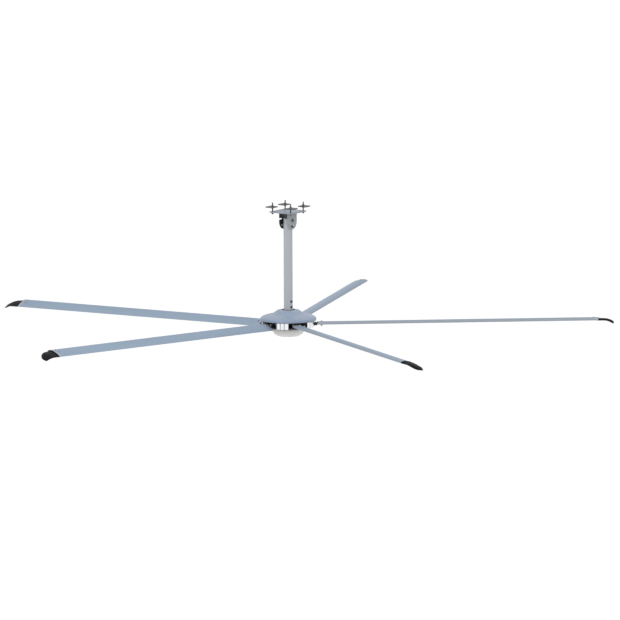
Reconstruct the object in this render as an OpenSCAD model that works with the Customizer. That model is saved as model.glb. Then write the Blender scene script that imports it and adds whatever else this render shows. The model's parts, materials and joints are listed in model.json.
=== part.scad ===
// High-volume low-speed ceiling fan with five blades on a direct-drive motor, hung from a beam.
// The origin is the centre of the mount plate's top face, where the beam bears.
// Z points up, X runs along the pivot bolt of the clevis, and all sizes are in millimetres.

/* [Mount plate and beam clamps] */
// Side of the square mount plate
mount_side = 250; // [238:1:320]
// Thickness of the mount plate
mount_t = 10; // [6:0.5:16]
// Corner radius of the mount plate and the clamp plates
mount_corner_r = 6; // [2:0.5:12]
// Centre distance of the four threaded rods, along X and along Y
rod_pitch = 205; // [190:1:208]
// Thread diameter of the rods
rod_d = 12; // [8:1:14]
// Length of rod above the mount plate
rod_above = 84; // [76:1:140]
// Clear height between the mount plate and the clamp plates
flange_gap = 37; // [28:1:44]
// Side of a square clamp plate
clamp_side = 86; // [56:1:88]
// Thickness of a clamp plate
clamp_t = 9.5; // [5:0.5:12]
// Distance that each clamp plate is set outward from its rod
clamp_shift = 11; // [0:0.5:18]

/* [Clevis] */
// Clear gap between the two clevis plates
clevis_gap = 85; // [84.6:0.1:96]
// Thickness of a clevis plate
clevis_t = 8; // [5:0.5:14]
// Width of a clevis plate, and the diameter of its round end
clevis_w = 143.6; // [136:0.2:190]
// Length of a clevis plate below the mount plate
clevis_len = 160; // [152:1:200]
// Depth of the pivot below the mount plate's underside
pivot_drop = 74; // [70:1:82]
// Diameter of the pivot bolt
pivot_d = 16; // [12:1:18]
// Radius of the levelling slot about the pivot
slot_r = 58; // [52:0.5:62]
// Width of the levelling slot
slot_w = 14; // [12.4:0.1:15]
// Tilt to each side that the slot allows
slot_half_angle = 34; // [15:1:34]
// Diameter of the bolt in the levelling slot, and of the bolts through the down tube
tube_bolt_d = 12; // [8:1:12]
// Depth of the cable notch in the far clevis plate
notch_depth = 43; // [20:1:46]

/* [Down tube] */
// Outer diameter of the down tube
tube_d = 84; // [72:0.5:84]
// Wall of the down tube
tube_wall = 5; // [3:0.25:8]
// Height of the tube's top above the pivot
tube_above_pivot = 15; // [15:0.5:34]
// Depth of the blade plane below the mount plate's top
blade_drop = 1064; // [700:1:2400]
// Height of the lower tube bolt above the tube's end
tube_bolt_up = 30; // [20:1:40]
// Distance between the two lower tube bolts
tube_bolt_pitch = 52; // [30:1:60]
// Angle of these two bolts around the tube, from the direction of the pivot bolt
tube_bolt_turn = 13; // [0:1:30]
// Length of the shaft's spigot inside the tube
spigot_len = 105; // [100:1:160]

/* [Blades] */
// Number of blades
blade_count = 5; // [3:1:5]
// Radius at which a blade starts
blade_root_r = 268; // [266:1:280]
// Radius at which a blade ends
blade_end_r = 2886; // [1400:1:3500]
// Chord of the blade
blade_chord = 181; // [170:1:196]
// Greatest thickness of the blade
blade_t = 32; // [26:0.5:34]
// Height of the blade's mean line over its chord
blade_camber = 8; // [3:0.25:9]
// Skin and web thickness of the blade extrusion
blade_wall = 2.5; // [1.5:0.1:2.6]
// Pitch of the blades, leading edge up
blade_pitch = 12; // [6:0.5:14]
// Distance of the blade's mid-chord behind the line from the hub's centre, towards the trailing edge
blade_shift = 18; // [0:1:20]
// Azimuth of the first blade
first_azimuth = 39.6; // [0:0.1:72]
// Radius of the two bolts that fasten a blade
blade_bolt_r = 311; // [300:1:340]
// Distance between these two bolts, across the blade
blade_bolt_pitch = 42; // [30:1:46]
// Diameter of the blade bolts and the strut bolts
blade_bolt_d = 10; // [6:1:10]

/* [Winglets] */
// Length of a winglet beyond the blade's end
winglet_len = 155; // [120:1:220]
// Straight stretch before a winglet turns down
winglet_flat = 61; // [20:1:70]
// Slope of a winglet at its tip
winglet_end_angle = 33; // [10:1:50]
// Distance of a winglet's leading edge from mid-chord, where it meets the blade
winglet_front = 77; // [60:1:80]
// Distance of a winglet's trailing edge from mid-chord, where it meets the blade
winglet_rear = 85; // [60:1:86]
// How far the leading edge sweeps back at the tip
winglet_sweep = 113; // [60:1:120]
// How far the trailing edge draws in at the tip
winglet_draw_in = 4; // [0:1:16]
// Thickness of a winglet where it meets the blade
winglet_t = 23; // [12:0.5:24]
// Length of a winglet's plug inside the blade
plug_len = 60; // [50:1:100]
// Diameter of the winglet screws
winglet_screw_d = 5; // [3:0.5:6]

/* [Hub] */
// Outer radius of the polished hub blocks
hub_r = 249; // [244:0.5:254]
// Thickness of a hub block's outer wall
hub_wall = 9; // [6:0.5:12]
// Angle that a hub block spans
block_angle = 26.5; // [20:0.5:28]
// Clear height between the drum's flange and the hub's top plate
hub_height = 47; // [44:0.5:54]
// Thickness of the drum's flange
flange_t = 12; // [8:0.5:14]
// Thickness of the hub's top plate
top_plate_t = 12; // [11:0.5:14]
// Width of a blade strut's foot
foot_w = 100; // [90:1:110]
// Thickness of a blade strut's foot
foot_t = 20; // [14:0.5:22]
// Reach of a strut's tongue inside the blade
tongue_reach = 195; // [120:1:400]
// Width of a strut's tongue
tongue_w = 72; // [66:0.5:74]
// Thickness of a strut's tongue
tongue_t = 12; // [8:0.5:12]

/* [Covers] */
// Outer radius of the top cover
cover_r = 261; // [260:0.5:264]
// Wall of the top cover
cover_wall = 2.5; // [1.5:0.1:3]
// Height of the top cover
cover_h = 94; // [92:0.5:100]
// Height of the top cover's upright rim
cover_rim_h = 16; // [15:0.5:24]
// Height of the top plate's edge that the cover's rim laps over
cover_lap = 8; // [8:0.5:10]
// Radius of the top cover's opening around the tube
cover_opening_r = 58; // [56:0.5:62]
// Outer radius of the bottom dome
dome_r = 153; // [152:0.5:170]
// Height of the bottom dome
dome_h = 72; // [64:0.5:90]
// Radius of the bottom dome's flat middle
dome_flat_r = 74; // [50:1:80]
// Wall of the bottom dome
dome_wall = 3; // [2:0.1:4]

/* [Motor] */
// Outer radius of the rotor drum
drum_r = 150; // [146:0.5:151]
// Wall of the rotor drum
drum_wall = 12; // [10:0.5:14]
// Height of the rotor drum above the flange's underside
drum_h = 98; // [96:0.5:104]
// Radial thickness of the magnets
magnet_t = 7.4; // [5:0.1:9]
// Air gap between the magnets and the stator
air_gap = 1.5; // [0.8:0.1:2]
// Number of magnets
magnet_count = 28; // [16:2:32]
// Number of stator teeth
tooth_count = 24; // [18:3:24]
// Height of the stator's core
core_h = 45; // [30:1:47]
// Radius of the shaft at its upper bearing
shaft_r = 25; // [20:0.5:26]
// Radius of the shaft at its lower bearing
shaft_low_r = 20; // [16:0.5:21]
// Radius of the cable way through the shaft
cable_way_r = 10; // [6:0.5:12]
// Balls in each bearing
ball_count = 10; // [8:1:10]
// Diameter of a bearing ball
ball_d = 11; // [8:0.5:11]

/* [Fits] */
// Radial clearance of the pivot bolt in its sleeve
running_fit = 0.05; // [0.02:0.01:0.09]
// Radial clearance of bolts and rods in their holes
bolt_clearance = 0.4; // [0.2:0.05:0.5]
// Gap between pieces that turn or slide on each other
working_gap = 0.3; // [0.2:0.05:0.4]
// Radial gap of pieces that are pressed or pushed together
seat_gap = 0.05; // [0.02:0.01:0.1]

/* [Hidden] */
$fn = 72;
eps = 1;

BLADES = [for (i = [1:blade_count]) i];

// Fastener proportions, as shares of the thread diameter
flats_share = 1.6;
head_share = 0.65;
nut_share = 0.85;
washer_share = 2;
washer_t = 2.5;
bolt_tail = 4;
chamfer = 1;

// Heights of the mount
underside_z = -mount_t;
clamp_z = flange_gap;
pivot_z = underside_z - pivot_drop;
slot_z = pivot_z - slot_r;
clevis_end_z = underside_z - clevis_len + clevis_w / 2;
clevis_face_x = clevis_gap / 2 + clevis_t;
notch_from_pivot = 21;
notch_w = 15;
notch_top_fall = 3.6;
notch_bottom_rise = 2;

// Heights of the hub, from the blade plane
blade_z = -blade_drop;
flange_z = blade_z - 19;
foot_z = flange_z + flange_t;
top_plate_z = foot_z + hub_height;
cover_z = top_plate_z + top_plate_t - cover_lap;
cover_top_z = cover_z + cover_h;
crown_r = cover_opening_r + 32;
shoulder_r = cover_opening_r + 102;
shoulder_drop = 38;

// Heights of the motor, from the drum's flange
drum_top_z = flange_z + drum_h;
drum_top_t = 8;
upper_bearing_z = drum_top_z - 1;
lower_bearing_z = flange_z + 4;
upper_bearing_w = 20;
lower_bearing_w = 18;
race_t = 20;
boss_wall = 12;
lip = 5;
seal_w = 5.5;
boss_top_z = upper_bearing_z + upper_bearing_w + seal_w + 0.5;
core_z = flange_z + 35;
core_r = drum_r - drum_wall - seat_gap - magnet_t - air_gap;
yoke_r = 68;
tooth_w = 9;
coil_t = 3;
coil_over = 6;
end_cover_t = 18;
dome_z = flange_z - end_cover_t - seat_gap;

// Shaft and tube
tube_r = tube_d / 2;
tube_bore_r = tube_r - tube_wall;
tube_top_z = pivot_z + tube_above_pivot;
collar_t = 12;
collar_r = cover_opening_r - 9;
tube_end_z = cover_top_z - 2;
shoulder_shaft_r = shaft_r + 10;
shaft_end_z = flange_z - 12;
sleeve_wall = 4;
sleeve_r = pivot_d / 2 + running_fit + sleeve_wall;

// Struts and blade fasteners
foot_start_r = drum_r + 6;
foot_end_r = hub_r + 13;
tongue_start_r = hub_r - 6;
tongue_end_r = blade_root_r + tongue_reach;
tongue_mid = -14;
tongue_lift = blade_camber * 0.83;
strut_bolt_rows = [foot_start_r + 18, tongue_start_r - hex_r(blade_bolt_d) - 1];
strut_bolt_pitch = 44;
block_bolt_r = hub_r - 27;
block_bolt_angle = 5;
flute_r = 5;
flute_angle = 4.4;
end_screw_d = 5;
end_screw_count = 6;
dome_screw_d = 6;
dome_screw_r = 110;
dome_screw_count = 4;
dome_screw_len = 52;
dome_pillar_r = 9;
winglet_screw_in = 42;
winglet_low = 3;
cap_t = 4;
winglet_screw_places = [-36, 14];

// Airfoil: half thickness of a four-digit section, as a share of its greatest thickness, at x of the chord
function foil_half(x) =
    5 * (0.2969 * sqrt(x) - 0.126 * x - 0.3516 * pow(x, 2) + 0.2843 * pow(x, 3) - 0.1015 * pow(x, 4));
function mean_line(x, camber) = 4 * camber * x * (1 - x);
// A share of the chord, packed towards the leading edge
function along_chord(i, n) = pow(i / n, 2);
function foil_points(chord, thick, camber, n) = concat(
    [for (i = [0:n]) let (x = along_chord(i, n))
        [(x - 0.5) * chord, mean_line(x, camber) + thick * foil_half(x)]],
    [for (i = [n:-1:1]) let (x = along_chord(i, n))
        [(x - 0.5) * chord, mean_line(x, camber) - thick * foil_half(x)]]
);
// Place across the blade, measured from mid-chord, as a share of the chord
function chord_share(u) = u / blade_chord + 0.5;
function blade_top(u) = mean_line(chord_share(u), blade_camber) + blade_t * foil_half(chord_share(u));
function blade_bottom(u) = mean_line(chord_share(u), blade_camber) - blade_t * foil_half(chord_share(u));
// The blade's inside between two places across it, drawn in from the outer skin
cell_steps = 6;
function cell_points(a, b, skin) = concat(
    [for (i = [0:cell_steps]) let (u = a + (b - a) * i / cell_steps) [u, blade_top(u) - skin]],
    [for (i = [cell_steps:-1:0]) let (u = a + (b - a) * i / cell_steps) [u, blade_bottom(u) + skin]]
);
cell_edges = [
    [-0.45 * blade_chord, tongue_mid - tongue_w / 2 - blade_wall - 1.5],
    [tongue_mid - tongue_w / 2 - 1.5, tongue_mid + tongue_w / 2 + 1.5],
    [tongue_mid + tongue_w / 2 + 1.5 + blade_wall, 0.36 * blade_chord]
];

// Points on a cubic curve, used for the two covers
function cubic(p, s) =
    pow(1 - s, 3) * p[0] + 3 * s * pow(1 - s, 2) * p[1] + 3 * s * s * (1 - s) * p[2] + pow(s, 3) * p[3];
function curve(p, n) = [for (i = [0:n]) cubic(p, i / n)];

// Half the span of a hexagon from corner to corner, for a thread
function hex_r(d) = flats_share * d / 2 / cos(30);

// Bars, rings and fasteners

module ring(r_out, r_in, z_low, z_high) {
    translate([0, 0, z_low])
    difference() {
        cylinder(r = r_out, h = z_high - z_low);
        translate([0, 0, -eps])
        cylinder(r = r_in, h = z_high - z_low + 2 * eps);
    }
}

// A round bar with chamfered ends
module bar(d, z_low, z_high) {
    rotate_extrude()
    polygon([
        [0, z_low], [d / 2 - chamfer, z_low], [d / 2, z_low + chamfer],
        [d / 2, z_high - chamfer], [d / 2 - chamfer, z_high], [0, z_high]
    ]);
}

// A hexagon with its top corners chamfered
module hexagon(d, h) {
    r = hex_r(d);
    intersection() {
        cylinder(r = r, h = h, $fn = 6);
        rotate_extrude()
        polygon([[0, 0], [r, 0], [r, h - r * 0.1], [r * 0.84, h], [0, h]]);
    }
}

// A nut whose bore clears its thread by the seat gap
module nut(d) {
    difference() {
        hexagon(d, nut_share * d);
        translate([0, 0, -eps])
        cylinder(r = d / 2 + seat_gap, h = nut_share * d + 2 * eps);
    }
}

module washer(d) {
    ring(washer_share * d / 2, d / 2 + bolt_clearance, 0, washer_t);
}

// A hexagon bolt with its head's seat at z = 0 and its shank below
module hex_bolt(d, length) {
    hexagon(d, head_share * d);
    bar(d, -length, eps);
}

// A screw with a low round head and a hexagon socket, its seat at z = 0
module socket_screw(d, length) {
    difference() {
        union() {
            cylinder(r = 0.9 * d, h = 0.6 * d);
            bar(d, -length, eps);
        }
        translate([0, 0, 0.25 * d])
        cylinder(r = 0.33 * d, h = d, $fn = 6);
    }
}

// A square plate with round corners, its underside at z = 0
module rounded_plate(side, t) {
    flat = side - 2 * mount_corner_r;
    translate([-side / 2, -flat / 2, 0])
    cube([side, flat, t]);
    translate([-flat / 2, -side / 2, 0])
    cube([flat, side, t]);
    for (x = [-1, 1], y = [-1, 1])
        translate([x * flat / 2, y * flat / 2, 0])
        cylinder(r = mount_corner_r, h = t);
}

// Turns a piece made along Z so that it lies along X, centred on x = 0, at height z
module across(z) {
    translate([0, 0, z])
    rotate([0, 90, 0])
    children();
}

// The same for the two bolts through the tube's lower end
module across_low(z) {
    rotate([0, 0, -tube_bolt_turn])
    across(z)
    children();
}

// Mount plate, rods and clamp plates

rod_places = [[-1, -1], [-1, 1], [1, 1], [1, -1]];

module at_rod(i) {
    translate([rod_places[i][0] * rod_pitch / 2, rod_places[i][1] * rod_pitch / 2, 0])
    children();
}

rod_low_z = underside_z - washer_t - nut_share * rod_d - bolt_tail;

module mount_plate() {
    color("slategray")
    difference() {
        translate([0, 0, underside_z])
        rounded_plate(mount_side, mount_t);
        for (i = [0:3])
            at_rod(i)
            translate([0, 0, underside_z - eps])
            cylinder(r = rod_d / 2 + bolt_clearance, h = mount_t + 2 * eps);
    }
}

module threaded_rods() {
    color("dimgray")
    for (i = [0:3])
        at_rod(i)
        bar(rod_d, rod_low_z, rod_above);
}

module clamp_plate(i) {
    color("slategray")
    at_rod(i)
    translate([0, 0, clamp_z])
    difference() {
        translate([rod_places[i][0] * clamp_shift, 0, 0])
        rounded_plate(clamp_side, clamp_t);
        translate([0, 0, -eps])
        cylinder(r = rod_d / 2 + bolt_clearance, h = clamp_t + 2 * eps);
    }
}

// One nut under the mount plate, one under the clamp plate and one on top of it
module rod_nuts() {
    color("dimgray")
    for (i = [0:3])
        at_rod(i) {
            translate([0, 0, underside_z - washer_t])
            mirror([0, 0, 1])
            nut(rod_d);
            translate([0, 0, clamp_z])
            mirror([0, 0, 1])
            nut(rod_d);
            translate([0, 0, clamp_z + clamp_t + washer_t])
            nut(rod_d);
        }
}

module rod_washers() {
    color("silver")
    for (i = [0:3])
        at_rod(i) {
            translate([0, 0, underside_z - washer_t])
            washer(rod_d);
            translate([0, 0, clamp_z + clamp_t])
            washer(rod_d);
        }
}

// Clevis

// The levelling slot, cut along X and centred below the pivot
module level_slot(t) {
    rotate([0, 0, -slot_half_angle])
    rotate_extrude(angle = 2 * slot_half_angle)
    translate([slot_r - slot_w / 2, -t / 2])
    square([slot_w, t]);
    for (side = [-1, 1])
        rotate([0, 0, side * slot_half_angle])
        translate([slot_r, 0, -t / 2])
        cylinder(r = slot_w / 2, h = t);
}

// The far plate has a notch in its edge, a little wider at its mouth, where the supply cable leaves
module cable_notch(t) {
    edge = -clevis_w / 2;
    rotate([90, 0, 90])
    translate([0, 0, -t / 2])
    linear_extrude(t)
    polygon([
        [edge - eps, pivot_z + notch_from_pivot],
        [edge + notch_depth, pivot_z + notch_from_pivot - notch_top_fall],
        [edge + notch_depth, pivot_z + notch_from_pivot - notch_w + notch_bottom_rise],
        [edge - eps, pivot_z + notch_from_pivot - notch_w]
    ]);
}

module clevis_plate(side) {
    x = side * (clevis_gap + clevis_t) / 2;
    cut_t = clevis_t + 2 * eps;
    color(side > 0 ? "darkgray" : "dimgray")
    translate([x, 0, 0])
    difference() {
        union() {
            translate([-clevis_t / 2, -clevis_w / 2, clevis_end_z])
            cube([clevis_t, clevis_w, underside_z - clevis_end_z]);
            across(clevis_end_z)
            translate([0, 0, -clevis_t / 2])
            cylinder(r = clevis_w / 2, h = clevis_t);
        }
        across(pivot_z) {
            translate([0, 0, -cut_t / 2])
            cylinder(r = pivot_d / 2 + seat_gap, h = cut_t);
            level_slot(cut_t);
        }
        if (side < 0)
            cable_notch(cut_t);
    }
}

module pivot_bolt() {
    color("dimgray")
    across(pivot_z)
    translate([0, 0, clevis_face_x])
    hex_bolt(pivot_d, 2 * clevis_face_x + nut_share * pivot_d + bolt_tail);
}

module pivot_nut() {
    color("dimgray")
    across(pivot_z)
    translate([0, 0, -clevis_face_x])
    mirror([0, 0, 1])
    nut(pivot_d);
}

// Down tube and its fasteners

module pivot_sleeve() {
    color("silver")
    across(pivot_z)
    ring(sleeve_r, pivot_d / 2 + running_fit, -clevis_gap / 2 + working_gap, clevis_gap / 2 - working_gap);
}

module slot_bolt() {
    color("dimgray")
    across(slot_z)
    translate([0, 0, clevis_face_x + working_gap])
    hex_bolt(tube_bolt_d, 2 * (clevis_face_x + working_gap) + nut_share * tube_bolt_d + bolt_tail);
}

tube_bolt_z = [tube_end_z + tube_bolt_up, tube_end_z + tube_bolt_up + tube_bolt_pitch];

module down_tube() {
    color("lightslategray")
    difference() {
        ring(tube_r, tube_bore_r, tube_end_z, tube_top_z);
        across(pivot_z)
        cylinder(r = sleeve_r + seat_gap, h = 2 * tube_d, center = true);
        across(slot_z)
        cylinder(r = tube_bolt_d / 2 + bolt_clearance, h = 2 * tube_d, center = true);
        for (z = tube_bolt_z)
            across_low(z)
            cylinder(r = tube_bolt_d / 2 + bolt_clearance, h = 2 * tube_d, center = true);
    }
}

module tube_bolts() {
    color("dimgray")
    for (z = tube_bolt_z)
        across_low(z)
        translate([0, 0, tube_r + seat_gap])
        hex_bolt(tube_bolt_d, tube_d + 2 * seat_gap + nut_share * tube_bolt_d + bolt_tail);
}

// The nuts of the two tube bolts and of the slot bolt
module tube_nuts() {
    color("dimgray") {
        for (z = tube_bolt_z)
            across_low(z)
            translate([0, 0, -tube_r - seat_gap])
            mirror([0, 0, 1])
            nut(tube_bolt_d);
        across(slot_z)
        translate([0, 0, -clevis_face_x - working_gap])
        mirror([0, 0, 1])
        nut(tube_bolt_d);
    }
}

// Motor: the shaft and the stator stand still, and the drum turns around them

module motor_shaft() {
    collar_z = tube_end_z - collar_t;
    bearing_top_z = upper_bearing_z + upper_bearing_w;
    step_z = lower_bearing_z + lower_bearing_w;
    spigot_r = tube_bore_r - seat_gap;
    color("silver")
    difference() {
        rotate_extrude()
        polygon([
            [cable_way_r, shaft_end_z], [shaft_low_r, shaft_end_z],
            [shaft_low_r, step_z], [shaft_r, step_z],
            [shaft_r, bearing_top_z], [shoulder_shaft_r, bearing_top_z],
            [shoulder_shaft_r, collar_z], [collar_r, collar_z],
            [collar_r, tube_end_z], [spigot_r, tube_end_z],
            [spigot_r, tube_end_z + spigot_len], [cable_way_r, tube_end_z + spigot_len]
        ]);
        for (z = tube_bolt_z)
            across_low(z)
            cylinder(r = tube_bolt_d / 2 + bolt_clearance, h = tube_d, center = true);
    }
}

module shaft_nut() {
    nut_r = shaft_low_r + 7;
    color("dimgray")
    difference() {
        ring(nut_r, shaft_low_r + seat_gap, shaft_end_z + 3, lower_bearing_z);
        for (a = [0:90:270])
            rotate([0, 0, a])
            translate([nut_r - 2.5, -2.5, shaft_end_z])
            cube([5, 5, lower_bearing_z - shaft_end_z + eps]);
    }
}

module stator_core() {
    tip_w = 2 * PI * core_r / tooth_count - 4;
    color("darkslategray")
    translate([0, 0, core_z])
    difference() {
        intersection() {
            cylinder(r = core_r, h = core_h);
            union() {
                cylinder(r = yoke_r, h = core_h);
                for (i = [0:tooth_count - 1])
                    rotate([0, 0, i * 360 / tooth_count]) {
                        translate([yoke_r - 2, -tooth_w / 2, 0])
                        cube([core_r - yoke_r + 2, tooth_w, core_h]);
                        translate([core_r - 4, -tip_w / 2, 0])
                        cube([8, tip_w, core_h]);
                    }
            }
        }
        translate([0, 0, -eps])
        cylinder(r = shaft_r + seat_gap, h = core_h + 2 * eps);
    }
}

// One coil around each tooth
module stator_windings() {
    inner_w = tooth_w + 0.2;
    outer_w = inner_w + 2 * coil_t;
    inner_h = core_h + 0.2;
    start = yoke_r + 4;
    length = core_r - 6 - start;
    color("peru")
    for (i = [0:tooth_count - 1])
        rotate([0, 0, i * 360 / tooth_count])
        translate([start, 0, core_z + core_h / 2])
        difference() {
            translate([0, -outer_w / 2, -inner_h / 2 - coil_over])
            cube([length, outer_w, inner_h + 2 * coil_over]);
            translate([-eps, -inner_w / 2, -inner_h / 2])
            cube([length + 2 * eps, inner_w, inner_h]);
        }
}

// The two ball bearings: each place gives the shaft's radius, the lower face and the width
bearings = [
    [shaft_r, upper_bearing_z, upper_bearing_w],
    [shaft_low_r, lower_bearing_z, lower_bearing_w]
];

// The groove that both races have for the balls
module ball_groove(b, gap) {
    translate([0, 0, b[1] + b[2] / 2])
    rotate_extrude()
    translate([b[0] + race_t / 2, 0])
    circle(r = ball_d / 2 + gap);
}

race_share = 0.3;

module bearing_inner_races() {
    color("gainsboro")
    for (b = bearings)
        difference() {
            ring(b[0] + race_t * race_share, b[0] + seat_gap, b[1], b[1] + b[2]);
            ball_groove(b, working_gap);
        }
}

module bearing_outer_races() {
    color("gainsboro")
    for (b = bearings)
        difference() {
            ring(b[0] + race_t, b[0] + race_t * (1 - race_share), b[1], b[1] + b[2]);
            ball_groove(b, seat_gap);
        }
}

module bearing_balls() {
    color("white")
    for (b = bearings, i = [0:ball_count - 1])
        rotate([0, 0, i * 360 / ball_count])
        translate([b[0] + race_t / 2, 0, b[1] + b[2] / 2])
        sphere(r = ball_d / 2);
}

module shaft_seal() {
    low = upper_bearing_z + upper_bearing_w;
    color("black")
    ring(shoulder_shaft_r + 13, shoulder_shaft_r + working_gap, low, low + seal_w);
}

// The drum, with the flange that carries the struts and the boss of the upper bearing
module rotor_drum() {
    bearing_r = shaft_r + race_t + seat_gap;
    boss_r = bearing_r + boss_wall;
    seal_z = upper_bearing_z + upper_bearing_w;
    roof_z = drum_top_z - drum_top_t;
    color("dimgray")
    difference() {
        rotate_extrude()
        polygon([
            [drum_r - drum_wall, flange_z], [hub_r - hub_wall - seat_gap, flange_z],
            [hub_r - hub_wall - seat_gap, foot_z], [drum_r, foot_z],
            [drum_r, drum_top_z - 6], [drum_r - 6, drum_top_z],
            [boss_r, drum_top_z], [boss_r, boss_top_z],
            [shoulder_shaft_r + 13 + seat_gap, boss_top_z], [shoulder_shaft_r + 13 + seat_gap, seal_z],
            [bearing_r, seal_z], [bearing_r, upper_bearing_z],
            [bearing_r - lip, upper_bearing_z], [bearing_r - lip, roof_z],
            [drum_r - drum_wall, roof_z]
        ]);
        for (i = [0:end_screw_count - 1])
            rotate([0, 0, i * 360 / end_screw_count])
            translate([drum_r - drum_wall / 2, 0, flange_z - eps])
            cylinder(r = end_screw_d / 2 + seat_gap, h = 26 + eps);
        for (i = BLADES)
            strut_bolt_places(i)
            translate([0, 0, -eps])
            cylinder(r = blade_bolt_d / 2 + seat_gap, h = flange_t + foot_t);
        block_bolt_places()
        translate([0, 0, flange_z - eps])
        cylinder(r = 4 + seat_gap, h = flange_t + 2 * eps);
    }
}

module rotor_magnets() {
    span = 360 / magnet_count;
    outer = drum_r - drum_wall - seat_gap;
    color("gray")
    for (i = [0:magnet_count - 1])
        rotate([0, 0, (i - 0.43) * span])
        rotate_extrude(angle = span * 0.86)
        translate([outer - magnet_t, core_z - 2])
        square([magnet_t, core_h + 4]);
}

// The cover under the drum, with the boss of the lower bearing
module end_cover() {
    bearing_r = shaft_low_r + race_t + seat_gap;
    boss_r = bearing_r + 8;
    low_z = flange_z - end_cover_t;
    color("lightgray")
    difference() {
        rotate_extrude()
        polygon([
            [bearing_r - 6, low_z], [drum_r - 1, low_z], [drum_r, low_z + 1], [drum_r, flange_z],
            [boss_r, flange_z], [boss_r, lower_bearing_z + lower_bearing_w],
            [bearing_r, lower_bearing_z + lower_bearing_w], [bearing_r, lower_bearing_z],
            [bearing_r - 6, lower_bearing_z]
        ]);
        end_screw_places()
        translate([0, 0, -eps])
        cylinder(r = end_screw_d / 2 + bolt_clearance, h = end_cover_t + 2 * eps);
        dome_screw_places()
        cylinder(r = dome_screw_d / 2 + seat_gap, h = dome_screw_len + eps);
    }
}

// Seats of the screws that hold the end cover, with their shanks upward
module end_screw_places() {
    for (i = [0:end_screw_count - 1])
        rotate([0, 0, i * 360 / end_screw_count])
        translate([drum_r - drum_wall / 2, 0, flange_z - end_cover_t])
        children();
}

module end_cover_screws() {
    color("dimgray")
    end_screw_places()
    mirror([0, 0, 1])
    socket_screw(end_screw_d, end_cover_t + 14);
}

// Hub

// Turns a piece from the X axis to the azimuth of blade i
module at_azimuth(i) {
    rotate([0, 0, first_azimuth + (i - 1) * 360 / blade_count])
    children();
}

// Turns a piece to the hub block between blade i and the next one
module at_block(i) {
    at_azimuth(i + 0.5)
    children();
}

// The block bolts' axes, two in each block
module block_bolt_places() {
    for (i = BLADES)
        at_block(i)
        for (a = [-1, 1])
            rotate([0, 0, a * block_bolt_angle])
            translate([block_bolt_r, 0, 0])
            children();
}

// A polished spacer: an outer wall of full height over the flange's edge, and a body between the plates
module hub_block(i) {
    body_r = hub_r - 49;
    color("whitesmoke")
    at_block(i)
    difference() {
        rotate([0, 0, -block_angle / 2])
        rotate_extrude(angle = block_angle)
        polygon([
            [hub_r - hub_wall, flange_z], [hub_r - 1, flange_z], [hub_r, flange_z + 1],
            [hub_r, top_plate_z], [body_r, top_plate_z], [body_r, foot_z], [hub_r - hub_wall, foot_z]
        ]);
        for (a = [-1, 1]) {
            rotate([0, 0, a * flute_angle])
            translate([hub_r + flute_r * 0.4, 0, flange_z - eps])
            cylinder(r = flute_r, h = hub_height + flange_t + 2 * eps);
            rotate([0, 0, a * block_bolt_angle])
            translate([block_bolt_r, 0, foot_z - eps])
            cylinder(r = 4 + bolt_clearance, h = hub_height + 2 * eps);
        }
    }
}

module hub_top_plate() {
    edge_r = cover_r - cover_wall - seat_gap;
    color("black")
    difference() {
        ring(edge_r, drum_r + 16, top_plate_z, top_plate_z + top_plate_t);
        block_bolt_places()
        translate([0, 0, top_plate_z - eps])
        cylinder(r = 4 + bolt_clearance, h = top_plate_t + 2 * eps);
        cover_screw_places()
        mirror([0, 0, 1])
        cylinder(r = 2 + seat_gap, h = 16);
    }
}

module block_bolts() {
    color("dimgray")
    block_bolt_places()
    translate([0, 0, top_plate_z + top_plate_t])
    hex_bolt(8, top_plate_t + hub_height + flange_t - 1);
}

// Moves a piece made along X, with Y towards the trailing edge, on to blade i, pitched with its leading edge up
module on_blade(i) {
    translate([0, 0, blade_z])
    at_azimuth(i)
    rotate([-blade_pitch, 0, 0])
    translate([0, blade_shift, 0])
    children();
}

// The strut bolts' axes, from the flange's underside
module strut_bolt_places(i) {
    at_azimuth(i)
    for (r = strut_bolt_rows, side = [-1, 1])
        translate([r, side * strut_bolt_pitch / 2, flange_z])
        children();
}

// The bolts' axes through blade i, at its chord plane: each child is given at one bolt
blade_bolt_us = [tongue_mid - blade_bolt_pitch / 2, tongue_mid + blade_bolt_pitch / 2];

// A strut: a flat foot on the flange, and a pitched tongue that the blade slides over
module blade_strut(i) {
    hole_r = blade_bolt_d / 2 + bolt_clearance;
    color("black")
    difference() {
        union() {
            at_azimuth(i)
            translate([foot_start_r, -foot_w / 2, foot_z])
            cube([foot_end_r - foot_start_r, foot_w, foot_t]);
            on_blade(i)
            translate([tongue_start_r, tongue_mid - tongue_w / 2, tongue_lift - tongue_t / 2])
            cube([tongue_end_r - tongue_start_r, tongue_w, tongue_t]);
        }
        strut_bolt_places(i)
        cylinder(r = hole_r, h = flange_t + foot_t + eps);
        on_blade(i)
        for (u = blade_bolt_us)
            translate([blade_bolt_r, u, -blade_t])
            cylinder(r = hole_r, h = 2 * blade_t);
    }
}

module strut_bolts() {
    color("silver")
    for (i = BLADES)
        strut_bolt_places(i)
        translate([0, 0, flange_t + foot_t])
        hex_bolt(blade_bolt_d, foot_t + flange_t - 1);
}

// Blades

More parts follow.
